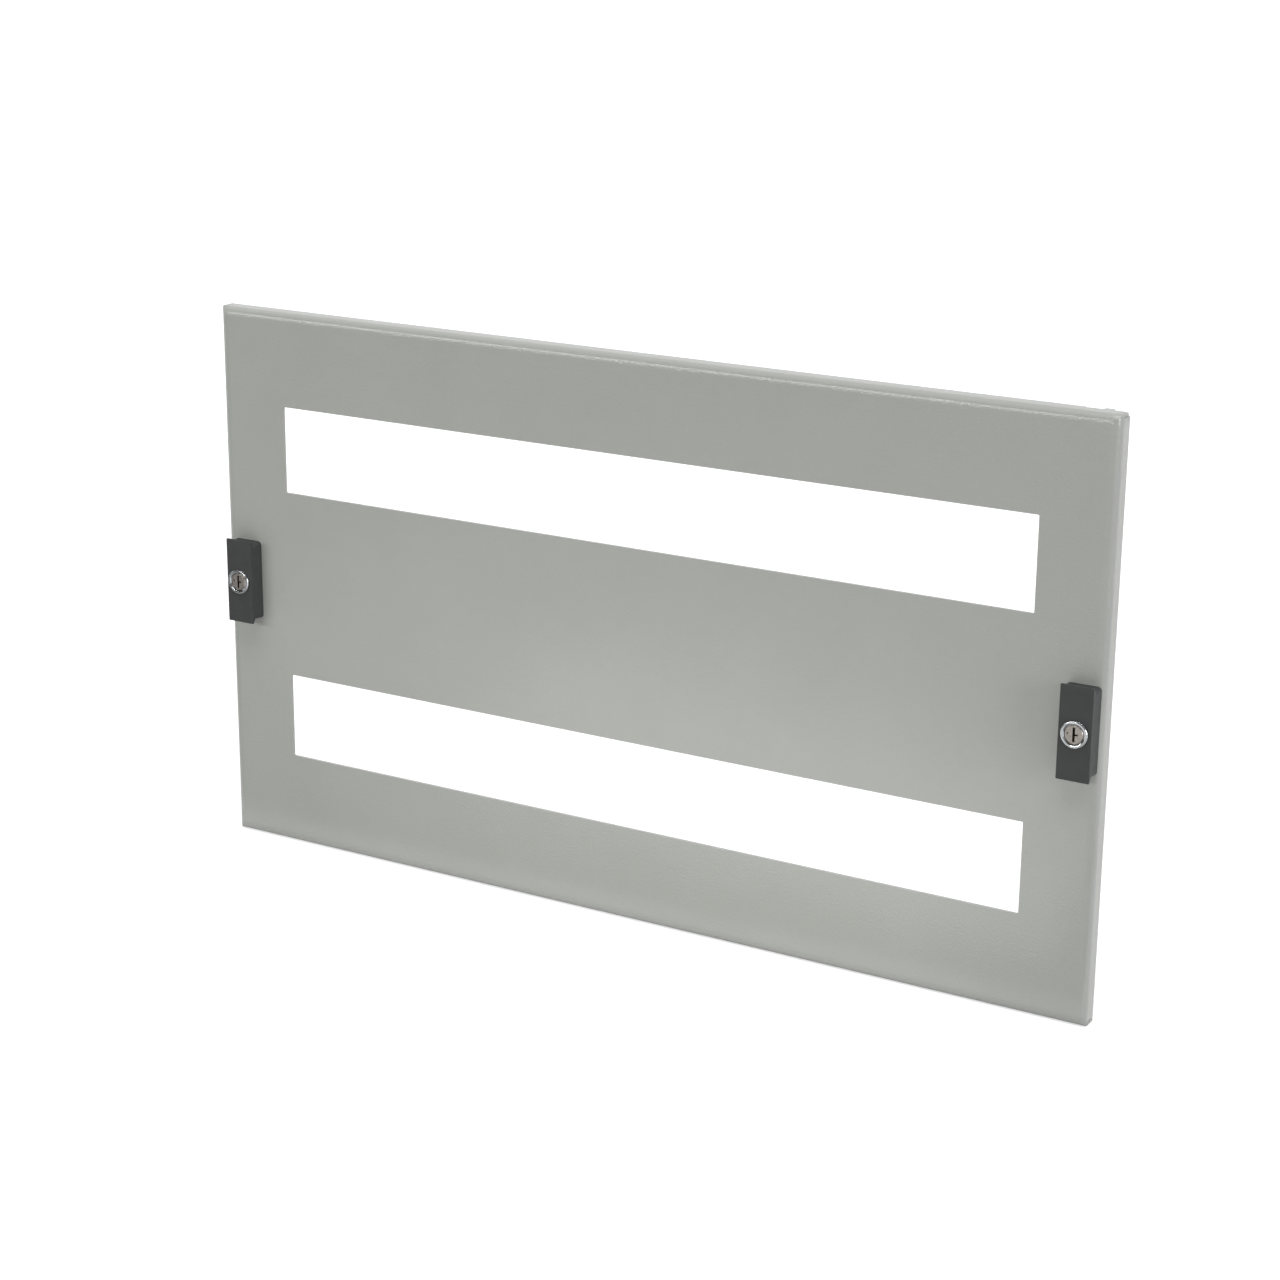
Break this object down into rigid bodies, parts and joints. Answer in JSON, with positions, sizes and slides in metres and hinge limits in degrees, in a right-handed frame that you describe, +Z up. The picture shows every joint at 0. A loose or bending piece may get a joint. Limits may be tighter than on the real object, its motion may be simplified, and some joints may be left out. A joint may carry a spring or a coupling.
{
  "type": "slotted enclosure cover",
  "caption": "Shallow folded steel cover panel with long horizontal device windows, held at each side by a key-operated quarter-turn lock in a dark moulded block.",
  "frame": {"origin": "middle of the plane of the folded rim's rear edge, the plane that seats on the enclosure's frame, level with the lock axes", "axes": "+X to the right along the panel's width, +Y out of the back towards the frame, +Z up; the front faces -Y"},
  "size_m": [0.509, 0.0276, 0.2986],
  "materials": {
    "panel_paint": "fine textured powder coat, light grey",
    "housing_plastic": "fine matt moulded, dark grey",
    "bezel_chrome": "polished chrome plate",
    "plug_nickel": "satin nickel plate",
    "zinc_plate": "bright zinc plate",
    "wafer_brass": "stamped brass",
    "spring_steel": "spring steel"
  },
  "bodies": {
    "panel": {"front_panel": "panel_paint", "left_lock_housing": "housing_plastic", "left_lock_barrel": "bezel_chrome", "left_lock_tooth_washer": "zinc_plate", "left_lock_nut": "zinc_plate", "right_lock_housing": "housing_plastic", "right_lock_barrel": "bezel_chrome", "right_lock_tooth_washer": "zinc_plate", "right_lock_nut": "zinc_plate"},
    "left_rotor": {"left_lock_plug": "plug_nickel", "left_lock_stop_washer": "zinc_plate", "left_lock_cam": "zinc_plate", "left_lock_spring_washer": "spring_steel", "left_lock_cam_screw": "zinc_plate", "left_lock_wafer_1": "wafer_brass", "left_lock_wafer_spring_1": "spring_steel", "left_lock_wafer_2": "wafer_brass", "left_lock_wafer_spring_2": "spring_steel", "left_lock_wafer_3": "wafer_brass", "left_lock_wafer_spring_3": "spring_steel", "left_lock_wafer_4": "wafer_brass", "left_lock_wafer_spring_4": "spring_steel"},
    "right_rotor": {"right_lock_plug": "plug_nickel", "right_lock_stop_washer": "zinc_plate", "right_lock_cam": "zinc_plate", "right_lock_spring_washer": "spring_steel", "right_lock_cam_screw": "zinc_plate", "right_lock_wafer_1": "wafer_brass", "right_lock_wafer_spring_1": "spring_steel", "right_lock_wafer_2": "wafer_brass", "right_lock_wafer_spring_2": "spring_steel", "right_lock_wafer_3": "wafer_brass", "right_lock_wafer_spring_3": "spring_steel", "right_lock_wafer_4": "wafer_brass", "right_lock_wafer_spring_4": "spring_steel"}
  },
  "joints": [
    {"name": "left_lock_turn", "type": "hinge", "parent": "panel", "child": "left_rotor", "pos_m": [-0.2411, 0, 0], "axis": [0, 1, 0], "range_deg": [0, 90]},
    {"name": "right_lock_turn", "type": "hinge", "parent": "panel", "child": "right_rotor", "pos_m": [0.244, 0, 0], "axis": [0, -1, 0], "range_deg": [0, 90]}
  ]
}
